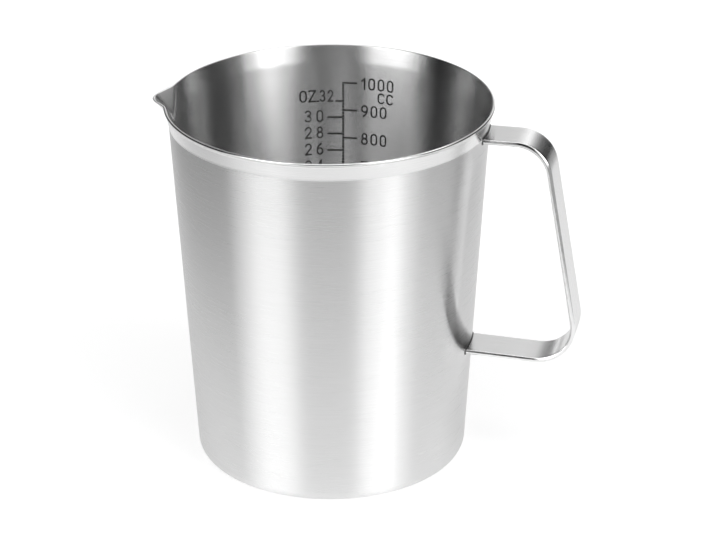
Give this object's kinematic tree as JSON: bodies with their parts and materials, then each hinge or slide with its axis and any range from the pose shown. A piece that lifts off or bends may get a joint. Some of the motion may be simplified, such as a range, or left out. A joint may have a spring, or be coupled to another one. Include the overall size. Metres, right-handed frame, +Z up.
{
  "type": "measuring jug",
  "caption": "Tapered brushed-steel measuring jug with a flared rim, a pressed pouring spout, a welded strap handle and a cc and ounce scale marked inside.",
  "frame": {"origin": "centre of the flat base, on the surface that the jug stands on", "axes": "+Z up along the jug's axis, +X towards the handle, -X away from it, where the spout is"},
  "size_m": [0.1523, 0.1162, 0.1335],
  "materials": {
    "body_steel": "satin, brushed round the jug",
    "strap_steel": "satin, brushed along the strap, with polished edges",
    "weld_steel": "dressed smooth",
    "mark_black": "matte dark etch",
    "mark_grey": "matte dark etch, a little fainter"
  },
  "bodies": {
    "root": {"jug_body": "body_steel", "handle": "strap_steel", "upper_weld": "weld_steel", "lower_weld": "weld_steel", "scale_line": "mark_black", "cc_ticks": "mark_black", "ounce_ticks": "mark_black", "cc_numbers": "mark_black", "ounce_numbers": "mark_grey", "unit_letters": "mark_black"}
  },
  "joints": []
}
